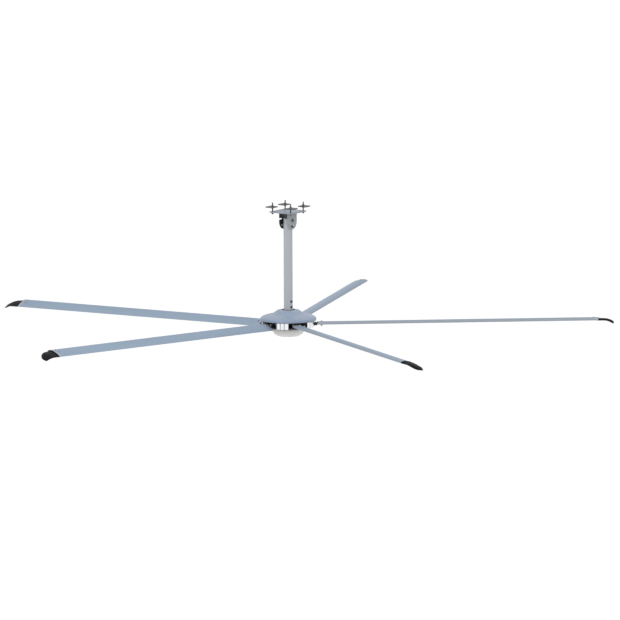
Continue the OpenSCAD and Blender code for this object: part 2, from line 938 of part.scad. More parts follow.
module blade(i) {
    color("lightsteelblue")
    on_blade(i)
    difference() {
        translate([blade_root_r, 0, 0])
        rotate([90, 0, 90])
        linear_extrude(blade_end_r - blade_root_r)
        polygon(foil_points(blade_chord, blade_t, blade_camber, 18));
        for (cell = cell_edges)
            translate([blade_root_r - eps, 0, 0])
            rotate([90, 0, 90])
            linear_extrude(blade_end_r - blade_root_r + 2 * eps)
            polygon(cell_points(cell[0], cell[1], blade_wall));
        for (u = blade_bolt_us)
            translate([blade_bolt_r, u, -blade_t])
            cylinder(r = blade_bolt_d / 2 + bolt_clearance, h = 2 * blade_t);
        for (u = winglet_screw_places)
            translate([blade_end_r - winglet_screw_in, u, 0])
            cylinder(r = winglet_screw_d / 2 + bolt_clearance, h = blade_t);
    }
}

// Height at which a flat fastener of radius r clears the curved skin around place u
function seat_above(u, r) = max(blade_top(u - r), blade_top(u), blade_top(u + r)) + seat_gap;
function seat_below(u, r) = min(blade_bottom(u - r), blade_bottom(u), blade_bottom(u + r)) - seat_gap;

module blade_bolts() {
    r = hex_r(blade_bolt_d);
    color("silver")
    for (i = BLADES, u = blade_bolt_us)
        on_blade(i)
        translate([blade_bolt_r, u, seat_above(u, r)])
        hex_bolt(blade_bolt_d, seat_above(u, r) - seat_below(u, r) + nut_share * blade_bolt_d + bolt_tail);
}

module blade_nuts() {
    r = hex_r(blade_bolt_d);
    color("silver")
    for (i = BLADES, u = blade_bolt_us)
        on_blade(i)
        translate([blade_bolt_r, u, seat_below(u, r)])
        mirror([0, 0, 1])
        nut(blade_bolt_d);
}

// Winglets: a cap on the blade's open end, and a blade of its own that turns down and narrows to a round tip

winglet_sections = 16;
winglet_steps = 12;
winglet_turn_r = (winglet_len - winglet_flat) / sin(winglet_end_angle);
// Distance out from the blade's end of section j, packed towards the tip
function winglet_out(j) = cap_t / 3 + (winglet_len - cap_t / 3) * sin(86 * j / winglet_sections) / sin(86.5);
function winglet_slope(out) = out > winglet_flat ? asin((out - winglet_flat) / winglet_turn_r) : 0;
function winglet_fall(out) = winglet_turn_r * (1 - cos(winglet_slope(out)));
// Leading edge, trailing edge and thickness at a share q of the length
function rounded_to(q, power) = 1 - sqrt(1 - pow(q, power));
function winglet_lead(q) = winglet_sweep * rounded_to(q, 2.2) - winglet_front;
function winglet_trail(q) = winglet_rear - winglet_draw_in * rounded_to(q, 4.8);
function winglet_thick(q) = winglet_t * (1 + 0.05 * q) * sqrt(1 - pow(q, 24));

function winglet_section(j) =
    let (
        out = winglet_out(j),
        q = out / winglet_len,
        slope = winglet_slope(out),
        width = winglet_trail(q) - winglet_lead(q),
        middle = (winglet_trail(q) + winglet_lead(q)) / 2,
        foil = foil_points(width, winglet_thick(q), blade_camber * (1 - q), winglet_steps)
    )
    [for (p = foil) [
        out + p[1] * sin(slope),
        middle + p[0],
        p[1] * cos(slope) - winglet_fall(out) - winglet_low
    ]];

module winglet_body() {
    rings = [for (j = [0:winglet_sections]) winglet_section(j)];
    n = len(rings[0]);
    points = [for (loop = rings, p = loop) p];
    last = winglet_sections * n;
    walls = [for (j = [0:winglet_sections - 1], k = [0:n - 1])
        let (a = j * n + k, b = j * n + (k + 1) % n)
        each [[a, b, b + n], [a, b + n, a + n]]];
    strips = [for (k = [0:winglet_steps - 1])
        let (under = 2 * winglet_steps + 1 - k)
        each k == 0 ? [[0, 1, under - 1]] : [[k, k + 1, under - 1], [k, under - 1, under]]];
    near = [for (t = strips) [t[0], t[2], t[1]]];
    far = [for (t = strips) [last + t[0], last + t[1], last + t[2]]];
    polyhedron(points, concat(walls, near, far));
}

// An outline drawn across the blade, from one distance along it to another
module along_blade(from, to) {
    translate([from, 0, 0])
    rotate([90, 0, 90])
    linear_extrude(to - from)
    children();
}

module winglet(i) {
    cell = cell_edges[1];
    color("black")
    on_blade(i)
    translate([blade_end_r, 0, 0])
    difference() {
        union() {
            winglet_body();
            along_blade(working_gap, cap_t)
            polygon(foil_points(blade_chord, blade_t, blade_camber, 18));
            along_blade(-plug_len, cap_t / 2)
            polygon(cell_points(cell[0] + working_gap, cell[1] - working_gap, blade_wall + working_gap));
        }
        for (u = winglet_screw_places)
            translate([-winglet_screw_in, u, tongue_lift])
            cylinder(r = winglet_screw_d / 2 + seat_gap, h = blade_t);
    }
}

module winglet_screws() {
    color("dimgray")
    for (i = BLADES, u = winglet_screw_places)
        on_blade(i)
        translate([blade_end_r - winglet_screw_in, u, seat_above(u, 0.9 * winglet_screw_d)])
        socket_screw(winglet_screw_d, seat_above(u, 0) - tongue_lift - 1);
}

// Covers

cover_outline = concat(
    [[cover_opening_r, cover_top_z]],
    curve([
        [crown_r, cover_top_z], [crown_r + 24, cover_top_z - 2],
        [shoulder_r - 32, cover_top_z - shoulder_drop + 7], [shoulder_r, cover_top_z - shoulder_drop]
    ], 7),
    curve([
        [shoulder_r, cover_top_z - shoulder_drop], [shoulder_r + 45, cover_top_z - shoulder_drop - 11],
        [cover_r - 6, cover_z + cover_rim_h + 19], [cover_r, cover_z + cover_rim_h]
    ], 8),
    [[cover_r, cover_z]]
);

// The outline drawn in by the wall, from the rim back to the opening
cover_inside = [for (i = [len(cover_outline) - 1:-1:0])
    let (p = cover_outline[i])
    [i == 0 ? p[0] : p[0] - cover_wall, i == len(cover_outline) - 1 ? p[1] : p[1] - cover_wall]];

module top_cover() {
    color("lightsteelblue")
    difference() {
        rotate_extrude()
        polygon(concat(cover_outline, cover_inside));
        cover_screw_places()
        cylinder(r = 2 + bolt_clearance, h = 30, center = true);
    }
}

// A rubber edging around the cover's opening
module cover_trim() {
    lap = 3;
    color("black")
    rotate_extrude()
    polygon([
        [cover_opening_r - 2.5, cover_top_z + 2], [cover_opening_r + lap, cover_top_z + 2],
        [cover_opening_r + lap, cover_top_z + seat_gap], [cover_opening_r - seat_gap, cover_top_z + seat_gap],
        [cover_opening_r - seat_gap, cover_top_z - cover_wall - seat_gap],
        [cover_opening_r + lap, cover_top_z - cover_wall - seat_gap],
        [cover_opening_r + lap, cover_top_z - cover_wall - 2],
        [cover_opening_r - 2.5, cover_top_z - cover_wall - 2]
    ]);
}

// Places on the cover's rim over each hub block, with Z pointing outward
module cover_screw_places() {
    for (i = BLADES)
        at_block(i)
        translate([cover_r, 0, cover_z + cover_lap / 2])
        rotate([0, 90, 0])
        children();
}

module cover_screws() {
    color("silver")
    cover_screw_places()
    translate([0, 0, seat_gap])
    difference() {
        union() {
            cylinder(r = 4, h = 1.6);
            bar(4, -14, eps);
        }
        translate([0, 0, 0.8])
        cylinder(r = 1.3, h = 2, $fn = 6);
    }
}

dome_low_z = dome_z - dome_h;
dome_outline = concat(
    [[0, dome_low_z]],
    curve([
        [dome_flat_r, dome_low_z], [dome_flat_r + 44, dome_low_z],
        [dome_r - 3, dome_low_z + 31], [dome_r, dome_z - 4]
    ], 10),
    [[dome_r, dome_z]]
);
dome_inside = concat(
    [[dome_r - dome_wall, dome_z]],
    [for (i = [len(dome_outline) - 2:-1:1]) [dome_outline[i][0] - dome_wall, dome_outline[i][1] + dome_wall]],
    [[0, dome_low_z + dome_wall]]
);

// Axes of the dome's screws, from their seats, with their shanks upward
module dome_screw_places() {
    for (i = [0:dome_screw_count - 1])
        rotate([0, 0, 45 + i * 360 / dome_screw_count])
        translate([dome_screw_r, 0, dome_z - dome_screw_len + 12])
        children();
}

module bottom_dome() {
    color("gainsboro")
    difference() {
        union() {
            rotate_extrude()
            polygon(concat(dome_outline, dome_inside));
            intersection() {
                rotate_extrude()
                polygon(concat(dome_outline, [[0, dome_z]]));
                dome_screw_places()
                translate([0, 0, -dome_h])
                cylinder(r = dome_pillar_r, h = dome_h + dome_screw_len - 12);
            }
        }
        dome_screw_places() {
            cylinder(r = dome_screw_d / 2 + bolt_clearance, h = dome_screw_len);
            translate([0, 0, -dome_h])
            cylinder(r = dome_screw_d, h = dome_h);
        }
    }
}

module dome_screws() {
    color("silver")
    dome_screw_places()
    mirror([0, 0, 1])
    socket_screw(dome_screw_d, dome_screw_len);
}

mount_plate();
clevis_plate(1);  // clevis_plate_1
clevis_plate(-1);  // clevis_plate_2
threaded_rods();
for (i = [1:4])
    clamp_plate(i - 1);
rod_nuts();
rod_washers();
pivot_bolt();
pivot_nut();
pivot_sleeve();
slot_bolt();
down_tube();
tube_bolts();
tube_nuts();
motor_shaft();
shaft_nut();
stator_core();
stator_windings();
bearing_inner_races();
bearing_outer_races();
bearing_balls();
shaft_seal();
rotor_drum();
rotor_magnets();
end_cover();
end_cover_screws();
hub_top_plate();
block_bolts();
strut_bolts();
blade_bolts();
blade_nuts();
winglet_screws();
top_cover();
cover_trim();
cover_screws();
bottom_dome();
dome_screws();
for (i = BLADES) {
    hub_block(i);
    blade_strut(i);
    blade(i);
    winglet(i);
}
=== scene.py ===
"""A five-blade high-volume low-speed ceiling fan: materials, fine pieces, light and camera.

Everything is in metres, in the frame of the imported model: the origin is the centre of the mount
plate's top face, Z is up, and X runs along the clevis pivot bolt.
"""
import bmesh
import bpy
import json
import math
from mathutils import Matrix, Vector


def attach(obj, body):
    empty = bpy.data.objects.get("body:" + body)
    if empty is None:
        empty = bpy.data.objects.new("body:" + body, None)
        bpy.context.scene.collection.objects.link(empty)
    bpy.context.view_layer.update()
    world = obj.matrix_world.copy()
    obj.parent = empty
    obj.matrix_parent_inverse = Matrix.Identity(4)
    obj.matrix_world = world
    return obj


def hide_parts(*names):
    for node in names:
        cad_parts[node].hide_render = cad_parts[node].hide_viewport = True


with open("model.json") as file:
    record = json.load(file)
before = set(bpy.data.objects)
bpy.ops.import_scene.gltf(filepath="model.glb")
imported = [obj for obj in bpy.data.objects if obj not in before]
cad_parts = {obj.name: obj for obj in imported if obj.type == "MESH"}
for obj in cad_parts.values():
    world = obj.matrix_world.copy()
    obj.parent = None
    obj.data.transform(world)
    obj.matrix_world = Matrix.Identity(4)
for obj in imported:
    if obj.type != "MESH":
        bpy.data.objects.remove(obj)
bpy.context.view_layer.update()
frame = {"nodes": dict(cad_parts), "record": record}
nodes = frame["nodes"]
bpy.ops.object.select_all(action="DESELECT")

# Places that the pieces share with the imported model
BLADES = 5
FIRST_AZIMUTH = math.radians(39.6)
STEP = 2 * math.pi / BLADES
BLADE_PLANE = -1.064

# Strength of the light that falls from all sides, and the grey of the floor
STUDIO_LIGHT = 0.72
FLOOR_SHADE = 0.82


class Wire:
    """A shader value that Python's own operators work on."""

    def __init__(self, graph, socket):
        self.graph = graph
        self.socket = socket

    def __add__(self, other):
        return self.graph.math("ADD", self, other)

    def __radd__(self, other):
        return self.graph.math("ADD", other, self)

    def __sub__(self, other):
        return self.graph.math("SUBTRACT", self, other)

    def __rsub__(self, other):
        return self.graph.math("SUBTRACT", other, self)

    def __mul__(self, other):
        return self.graph.math("MULTIPLY", self, other)

    def __rmul__(self, other):
        return self.graph.math("MULTIPLY", other, self)

    def __truediv__(self, other):
        return self.graph.math("DIVIDE", self, other)

    def __rtruediv__(self, other):
        return self.graph.math("DIVIDE", other, self)

    def __pow__(self, other):
        return self.graph.math("POWER", self, other)

    def __rpow__(self, other):
        return self.graph.math("POWER", other, self)

    def __abs__(self):
        return self.graph.math("ABSOLUTE", self)

    def sin(self):
        return self.graph.math("SINE", self)

    def cos(self):
        return self.graph.math("COSINE", self)

    def wrapped(self, high, low):
        return self.graph.math("WRAP", self, high, low)

    def clamped(self):
        return self.graph.add("ShaderNodeClamp", {}, [self])

    def smooth(self, start, end):
        """0 at start, 1 at end, and eased between them."""
        return self.graph.add(
            "ShaderNodeMapRange", {"interpolation_type": "SMOOTHSTEP"}, [self, start, end, 0.0, 1.0]
        )


class Graph:
    """The nodes of the world or of one material."""

    def __init__(self, tree):
        self.tree = tree
        self.tree.nodes.clear()

    def node(self, kind, settings, values):
        """Adds any node. settings are its properties, and values its inputs, in order or by name."""
        node = self.tree.nodes.new(kind)
        for name, value in settings.items():
            setattr(node, name, value)
        pairs = values.items() if isinstance(values, dict) else enumerate(values)
        for key, value in pairs:
            self.plug(node.inputs[key], value)
        return node

    def add(self, kind, settings, values, output=0):
        """Adds a node and gives one of its outputs."""
        return Wire(self, self.node(kind, settings, values).outputs[output])

    def math(self, operation, *values):
        return self.add("ShaderNodeMath", {"operation": operation}, values)

    def plug(self, socket, value):
        if isinstance(value, Wire):
            self.tree.links.new(value.socket, socket)
        elif isinstance(value, tuple) and len(value) == 3 and socket.type == "RGBA":
            socket.default_value = (*value, 1.0)
        else:
            socket.default_value = value

    def looking(self):
        """1 for what the camera sees, also in a mirror or through glass, and 0 for the light that falls."""
        rays = self.node("ShaderNodeLightPath", {}, []).outputs
        seen = [Wire(self, rays[kind]) for kind in ("Is Camera Ray", "Is Glossy Ray", "Is Transmission Ray")]
        return (seen[0] + seen[1] + seen[2]).clamped()


class Finish(Graph):
    """A material built round one Principled shader."""

    def __init__(self, name, colour, roughness, metallic=0.0, **fixed):
        self.material = bpy.data.materials.new(name)
        self.material.use_nodes = True
        super().__init__(self.material.node_tree)
        self.shader = self.node(
            "ShaderNodeBsdfPrincipled", {}, {"Base Color": colour, "Roughness": roughness, "Metallic": metallic}
        )
        self.surface = Wire(self, self.shader.outputs["BSDF"])
        self.output = self.node("ShaderNodeOutputMaterial", {}, {"Surface": self.surface})
        for socket, value in fixed.items():
            self.set(socket.replace("_", " ").title().replace("Ior", "IOR"), value)

    def set(self, socket, value):
        self.plug(self.shader.inputs[socket], value)

    def place(self):
        return self.add("ShaderNodeTexCoord", {}, [], "Object")

    def facing(self):
        """The upward share of the piece's own normal, which stays as it is when the piece moves."""
        return self.parts(self.add("ShaderNodeTexCoord", {}, [], "Normal"))[2]

    def parts(self, vector):
        return [Wire(self, output) for output in self.node("ShaderNodeSeparateXYZ", {}, [vector]).outputs]

    def joined(self, x, y, z):
        return self.add("ShaderNodeCombineXYZ", {}, [x, y, z])

    def noise(self, vector, scale, detail=2.0, roughness=0.5):
        return self.add(
            "ShaderNodeTexNoise", {},
            {"Vector": vector, "Scale": scale, "Detail": detail, "Roughness": roughness},
        )

    def blend(self, share, first, second):
        """A colour between two, by share."""
        return self.add("ShaderNodeMix", {"data_type": "RGBA"}, {"Factor": share, 6: first, 7: second}, 2)

    def bump(self, height, strength, distance):
        normal = self.add(
            "ShaderNodeBump", {}, {"Strength": strength, "Distance": distance, "Height": height}
        )
        self.set("Normal", normal)

    def upward(self):
        """1 on faces that look straight up, and 0 on upright ones and on undersides."""
        return self.facing().smooth(0.55, 0.98)

    def spoke(self):
        """Place along the nearest blade, place across it, and height."""
        x, y, z = self.parts(self.place())
        turn = (self.math("ARCTAN2", y, x) - FIRST_AZIMUTH).wrapped(STEP / 2, -STEP / 2)
        radius = (x * x + y * y) ** 0.5
        return radius * turn.cos(), radius * turn.sin(), z

    def ring(self):
        """Angle round the rotor's axis, radius and height."""
        x, y, z = self.parts(self.place())
        return self.math("ARCTAN2", y, x), (x * x + y * y) ** 0.5, z


# Heights, radii and pitches that the finishes follow, in metres
TUBE_TOP = -0.0702
CUT_EDGE = 0.0006
DRESSED_END = (2.850, 2.874)
DRESSED_ROOT = (0.30, 0.33)
# Span across the blade where the leading edge gets painted shade
LEADING_EDGE_SHADE = (-0.06, 0.01)
# Radii inside which the blocks get painted shade
FLUTE_FLOOR = (0.2462, 0.2486)
SHEET_PITCH = 0.0005
WIRE_PITCH = 0.0012
DUST = (0.56, 0.56, 0.54)
# Near white of a bare cut edge, brightened as a painted highlight
HIGHLIT_BARE_METAL = (0.95, 0.95, 0.95)


def lighter(colour, share):
    return tuple(min(1.0, c * share) for c in colour)


def powder_paint(name, colour, roughness=0.42, dust=0.25, bare_highlit_above=None):
    """Satin powder coat: orange peel, faint clouds, dust on what looks up, and above a height a bare cut edge
    painted near white as a painted highlight.
    """
    f = Finish(name, colour, roughness, specular_ior_level=0.5)
    place = f.place()
    clouds = f.noise(place, 5.0, 3.0)
    tone = f.blend(clouds, lighter(colour, 0.94), lighter(colour, 1.06))
    settled = f.upward() * f.noise(place, 38.0, 4.0).smooth(0.35, 0.75) * dust
    tone = f.blend(settled, tone, DUST)
    # Bare cut edge, painted near white as a painted highlight of the lit rim
    if bare_highlit_above is not None:
        bare_highlight = f.parts(place)[2].smooth(bare_highlit_above - CUT_EDGE, bare_highlit_above)
        tone = f.blend(bare_highlight, tone, HIGHLIT_BARE_METAL)
    f.set("Base Color", tone)
    f.set("Roughness", clouds * 0.08 + (roughness - 0.04) + settled * 0.3)
    f.bump(f.noise(place, 700.0, 1.0), 0.12, 0.0004)
    return f.material


def anodised(name, colour, painted_shade_grey, end_colour):
    """Anodised extrusion: fine die lines, painted shade that greys undersides and the leading edge, with paler
    dressed ends.
    """
    f = Finish(name, colour, 0.34, 0.55, specular_ior_level=0.12)
    f.set("Specular Tint", (0.5, 0.6, 0.75))
    along, across, height = f.spoke()
    lines = f.noise(f.joined(along * 0.6, across * 190.0, height * 190.0), 1.0, 3.0, 0.6)
    clouds = f.noise(f.joined(along * 1.3, across * 9.0, height * 9.0), 1.0, 2.0)
    tone = f.blend(clouds, lighter(colour, 0.93), lighter(colour, 1.07))
    tone = f.blend(lines.smooth(0.35, 0.7) * 0.35, tone, lighter(colour, 1.18))
    # Painted shade: faces that look down, and the leading edge, are blended towards a greyer colour
    underside_shade = 1 - f.facing().smooth(-0.1, 0.7)
    leading_edge_shade = 1 - across.smooth(*LEADING_EDGE_SHADE)
    tone = f.blend((underside_shade + leading_edge_shade * 0.6).clamped(), tone, painted_shade_grey)
    ends = along.smooth(*DRESSED_END) + (1 - along.smooth(*DRESSED_ROOT)) * 0.5
    f.set("Base Color", f.blend(ends, tone, end_colour))
    f.set("Roughness", lines * 0.12 + 0.28)
    f.bump(lines, 0.10, 0.0003)
    return f.material


def polished(name, colour):
    """Bright metal with faint upright polishing lines; inside the flute radius, on flutes and rounded edges,
    painted shade darkens it and the gloss is duller.
    """
    f = Finish(name, colour, 0.08, 1.0)
    turn, radius, height = f.ring()
    lines = f.noise(f.joined(turn * 260.0, radius * 60.0, height * 8.0), 1.0, 2.0)
    spots = f.noise(f.place(), 26.0, 4.0).smooth(0.55, 0.8)
    # Painted shade: flutes and rounded edges inside this radius are darkened
    flute_shade = 1 - radius.smooth(*FLUTE_FLOOR)
    bright = f.blend(spots * 0.5, colour, lighter(colour, 0.86))
    f.set("Base Color", f.blend(flute_shade, bright, lighter(colour, 0.42)))
    f.set("Roughness", lines * 0.05 + spots * 0.12 + flute_shade * 0.3 + 0.05)
    f.bump(lines, 0.04, 0.0002)
    return f.material


def moulded(name, colour):
    """Black moulded plastic with a fine eroded grain and slight gloss changes."""
    f = Finish(name, colour, 0.5, specular_ior_level=0.06)
    place = f.place()
    flow = f.noise(place, 11.0, 3.0)
    f.set("Base Color", f.blend(flow, lighter(colour, 0.7), lighter(colour, 1.5)))
    f.set("Roughness", flow * 0.16 + 0.42)
    f.bump(f.noise(place, 1500.0, 1.0), 0.10, 0.0003)
    return f.material


def plated(name, colour, roughness=0.3):
    """Zinc-plated or blackened fasteners: metal with clouded gloss."""
    f = Finish(name, colour, roughness, 0.85)
    place = f.place()
    spangle = f.noise(place, 240.0, 3.0)
    f.set("Base Color", f.blend(spangle, lighter(colour, 0.82), lighter(colour, 1.12)))
    f.set("Roughness", spangle * 0.2 + (roughness - 0.08))
    f.bump(f.noise(place, 900.0, 2.0), 0.08, 0.0003)
    return f.material


def rubber(name):
    f = Finish(name, (0.022, 0.022, 0.024), 0.62, specular_ior_level=0.35)
    place = f.place()
    bloom = f.noise(place, 70.0, 4.0)
    f.set("Base Color", f.blend(bloom.smooth(0.45, 0.8), (0.018, 0.018, 0.02), (0.05, 0.05, 0.052)))
    f.set("Roughness", bloom * 0.2 + 0.52)
    f.bump(f.noise(place, 1100.0, 2.0), 0.15, 0.0003)
    return f.material


def laminated(name, colour):
    """A stack of thin steel sheets: fine level lines."""
    f = Finish(name, colour, 0.45, 0.8)
    place = f.place()
    height = f.parts(place)[2]
    sheets = (height * 2 * math.pi / SHEET_PITCH).sin() * 0.5 + 0.5
    stain = f.noise(place, 60.0, 4.0)
    f.set("Base Color", f.blend(stain * 0.6 + sheets * 0.2, colour, lighter(colour, 0.6)))
    f.set("Roughness", stain * 0.25 + 0.3)
    f.bump(sheets, 0.2, 0.0002)
    return f.material


def wound_copper(name):
    """Enamelled wire: each turn shows as a fine line round its coil."""
    f = Finish(name, (0.55, 0.22, 0.07), 0.25, 0.7, coat_weight=0.6, coat_roughness=0.1)
    _, radius, _ = f.ring()
    wires = abs((radius * math.pi / WIRE_PITCH).sin())
    tone = f.noise(f.place(), 90.0, 2.0)
    f.set("Base Color", f.blend(tone, (0.42, 0.15, 0.045), (0.68, 0.30, 0.11)))
    f.set("Roughness", 0.42 - wires * 0.2)
    f.bump(wires, 0.5, 0.0006)
    return f.material


materials = {
    "mount_paint": powder_paint("mount_grey_paint", (0.27, 0.31, 0.37)),
    "clevis_paint": powder_paint("clevis_light_grey_paint", (0.31, 0.333, 0.34)),
    "dark_steel": plated("blackened_steel", (0.045, 0.045, 0.05), 0.4),
    "clamp_steel": plated("phosphated_steel", (0.115, 0.12, 0.13), 0.45),
    "zinc_steel": plated("bright_zinc_steel", (0.62, 0.63, 0.65), 0.3),
    "tube_paint": powder_paint("tube_grey_paint", (0.44, 0.465, 0.50), bare_highlit_above=TUBE_TOP),
    "black_paint": powder_paint("black_powder_coat", (0.012, 0.012, 0.015), 0.4, 0.08),
    "polished_metal": polished("chromed_blocks", (0.86, 0.87, 0.89)),
    "blade_anodised": anodised(
        "anodised_blue_grey",
        colour=(0.305, 0.382, 0.473),
        painted_shade_grey=(0.346, 0.372, 0.407),
        end_colour=(0.41, 0.425, 0.48),
    ),
    "winglet_plastic": moulded("black_moulded_plastic", (0.009, 0.009, 0.012)),
    "cover_paint": powder_paint("cover_blue_grey_paint", (0.262, 0.334, 0.448)),
    "dome_paint": powder_paint("dome_light_grey_paint", (0.78, 0.78, 0.765)),
    "trim_rubber": rubber("black_rubber"),
    "core_steel": laminated("laminated_steel", (0.32, 0.32, 0.33)),
    "winding_copper": wound_copper("enamelled_copper"),
    "bearing_steel": plated("bearing_steel", (0.75, 0.75, 0.77), 0.14),
}
for part in frame["record"]["subparts"]:
    for held in nodes[part["node"]].material_slots:
        held.material = materials[part["material_slot"]]

body_of_node = {
    node: body for body, held in frame["record"]["behaviour"]["bodies"].items() for node in held
}
slot_of_node = {part["node"]: part["material_slot"] for part in frame["record"]["subparts"]}


def alone(piece):
    """Selects this piece and no other."""
    bpy.ops.object.select_all(action="DESELECT")
    piece.select_set(True)
    bpy.context.view_layer.objects.active = piece


def shade(piece, smooth_to, flat_faces):
    """Smooths gentle angles. Flat faces keep their own normal where their edges are rounded."""
    alone(piece)
    bpy.ops.object.shade_smooth_by_angle(angle=math.radians(smooth_to))
    if flat_faces:
        evened = piece.modifiers.new("evened", "WEIGHTED_NORMAL")
        evened.keep_sharp = True
        bpy.ops.object.modifier_apply(modifier="evened")


def hand_over(piece, node, smooth_to=35, flat_faces=False):
    """Gives a finished piece its shading and finish, and lets it stand for its node on the node's body."""
    shade(piece, smooth_to, flat_faces)
    piece.data.materials.clear()
    piece.data.materials.append(materials[slot_of_node[node]])
    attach(piece, body_of_node[node])
    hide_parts(node)


def joined_copy(node, name):
    """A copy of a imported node, with its loose triangles joined into whole faces."""
    piece = bpy.data.objects.new(name, nodes[node].data.copy())
    bpy.context.collection.objects.link(piece)
    alone(piece)
    bpy.ops.mesh.customdata_custom_splitnormals_clear()
    bpy.ops.object.mode_set(mode="EDIT")
    bpy.ops.mesh.select_all(action="SELECT")
    bpy.ops.mesh.remove_doubles(threshold=0.000005)
    bpy.ops.mesh.dissolve_limited(angle_limit=math.radians(0.3))
    bpy.ops.object.mode_set(mode="OBJECT")
    return piece


def round_edges(piece, width, sharper_than=40, segments=3):
    """Rounds the outer edges that turn by more than an angle."""
    alone(piece)
    bpy.ops.object.mode_set(mode="EDIT")
    bpy.ops.mesh.select_mode(type="EDGE")
    bpy.ops.mesh.select_all(action="DESELECT")
    mesh = bmesh.from_edit_mesh(piece.data)
    for edge in mesh.edges:
        if len(edge.link_faces) == 2 and edge.calc_face_angle_signed() > math.radians(sharper_than):
            edge.select_set(True)
    bmesh.update_edit_mesh(piece.data)
    bpy.ops.mesh.bevel(offset=width, segments=segments, affect="EDGES", clamp_overlap=True)
    bpy.ops.object.mode_set(mode="OBJECT")


def turned_copy(piece, name, steps):
    """A copy with its own mesh, turned round the fan's axis by a number of blades."""
    copy = bpy.data.objects.new(name, piece.data.copy())
    bpy.context.collection.objects.link(copy)
    copy.data.transform(Matrix.Rotation(steps * STEP, 4, "Z"))
    return copy


def family(kind, word, width, sharper_than, smooth_to):
    """Works one of five like pieces, and copies it round the hub."""
    first = joined_copy(f"{kind}_1", f"{word}_1")
    if width:
        round_edges(first, width, sharper_than)
    for i in range(1, BLADES):
        hand_over(turned_copy(first, f"{word}_{i + 1}", i), f"{kind}_{i + 1}", smooth_to, width > 0)
    hand_over(first, f"{kind}_1", smooth_to, width > 0)


family("blade", "blade_extrusion", 0.0, 0, 28)
family("winglet", "winglet_moulding", 0.0, 0, 66)
family("hub_block", "polished_block", 0.0010, 40, 35)
family("blade_strut", "strut_casting", 0.0014, 40, 35)

for node, made, width in (
    ("mount_plate", "dressed", 0.0010),
    ("clevis_plate_1", "dressed", 0.0008),
    ("clevis_plate_2", "dressed", 0.0008),
    ("clamp_plate_1", "dressed", 0.0008),
    ("clamp_plate_2", "dressed", 0.0008),
    ("clamp_plate_3", "dressed", 0.0008),
    ("clamp_plate_4", "dressed", 0.0008),
    ("top_cover", "pressing", 0.0006),
    ("bottom_dome", "pressing", 0.0006),
    ("hub_top_plate", "dressed", 0.0010),
    ("down_tube", "dressed", 0.0008),
    ("cover_trim", "edging", 0.0009),
):
    piece = joined_copy(node, f"{node}_{made}")
    round_edges(piece, width)
    hand_over(piece, node, flat_faces=True)

# Threaded rods
ROD_PLACES = [(-0.1025, -0.1025), (-0.1025, 0.1025), (0.1025, 0.1025), (0.1025, -0.1025)]
ROD_LOW = -0.0267
ROD_HIGH = 0.084
ROD_RADIUS = 0.006
ROD_CHAMFER = 0.0006
THREAD_PITCH = 0.00175
THREAD_DEPTH = 0.0009
# Half widths of the ridge at its crest and at its root, as shares of half a pitch
CREST_SHARE = 0.12
ROOT_SHARE = 0.9


def threaded_bar(name):
    """A bar at the root of the thread, joined with a helical ridge."""
    length = ROD_HIGH - ROD_LOW
    bpy.ops.object.select_all(action="DESELECT")
    bpy.ops.mesh.primitive_cylinder_add(
        vertices=32,
        radius=ROD_RADIUS - THREAD_DEPTH,
        depth=length,
        location=(0, 0, (ROD_HIGH + ROD_LOW) / 2),
    )
    bar = bpy.context.object
    bar.name = name
    bpy.ops.object.transform_apply(location=True)
    round_edges(bar, ROD_CHAMFER, segments=2)
    bpy.ops.object.select_all(action="DESELECT")
    bpy.ops.mesh.primitive_plane_add(size=1)
    ridge = bpy.context.object
    # The ridge's section is a trapezium with its root sunk in the bar
    bpy.ops.object.mode_set(mode="EDIT")
    bpy.ops.mesh.delete(type="ONLY_FACE")
    section = bmesh.from_edit_mesh(ridge.data)
    root, crest = ROD_RADIUS - THREAD_DEPTH * 1.1, ROD_RADIUS
    start = ROD_LOW + THREAD_PITCH
    for corner in section.verts:
        outer = corner.co.x > 0
        side = 1 if corner.co.y > 0 else -1
        reach = THREAD_PITCH / 2 * (CREST_SHARE if outer else ROOT_SHARE)
        corner.co = (crest if outer else root, 0, start + side * reach)
    bmesh.update_edit_mesh(ridge.data)
    bpy.ops.object.mode_set(mode="OBJECT")
    helix = ridge.modifiers.new("helix", "SCREW")
    helix.axis = "Z"
    helix.angle = 2 * math.pi
    helix.screw_offset = THREAD_PITCH
    helix.iterations = int((length - 2 * THREAD_PITCH) / THREAD_PITCH)
    helix.steps = helix.render_steps = 20
    bpy.ops.object.modifier_apply(modifier="helix")
    bpy.ops.object.mode_set(mode="EDIT")
    bpy.ops.mesh.select_mode(type="EDGE")
    bpy.ops.mesh.select_all(action="DESELECT")
    bpy.ops.mesh.select_non_manifold(
        use_wire=False, use_multi_face=False, use_non_contiguous=False, use_verts=False
    )
    bpy.ops.mesh.fill()
    bpy.ops.mesh.select_all(action="SELECT")
    bpy.ops.mesh.normals_make_consistent(inside=False)
    bpy.ops.object.mode_set(mode="OBJECT")
    bar.select_set(True)
    bpy.context.view_layer.objects.active = bar
    bpy.ops.object.join()
    return bar


def threaded_rods():
    """One bar is modelled, copied to the four corners and joined to one piece."""
    bars = [threaded_bar("threaded_rods_cut")]
    for k in range(1, len(ROD_PLACES)):
        copy = bpy.data.objects.new(f"rod_{k}", bars[0].data.copy())
        bpy.context.collection.objects.link(copy)
        bars.append(copy)
    for bar, (x, y) in zip(bars, ROD_PLACES):
        bar.data.transform(Matrix.Translation((x, y, 0)))
    bpy.ops.object.select_all(action="DESELECT")
    for bar in bars:
        bar.select_set(True)
    bpy.context.view_layer.objects.active = bars[0]
    bpy.ops.object.join()
    hand_over(bars[0], "threaded_rods", 50)


threaded_rods()


# Weld beads along the outer faces of the clevis plates, where they meet the mount plate
WELD_FACE = 0.0505
WELD_TOP = -0.010
WELD_HALF_LENGTH = 0.068
BEAD_RADIUS = 0.0052
BEAD_PITCH = 0.0034
BEAD_SUNK = 0.0002


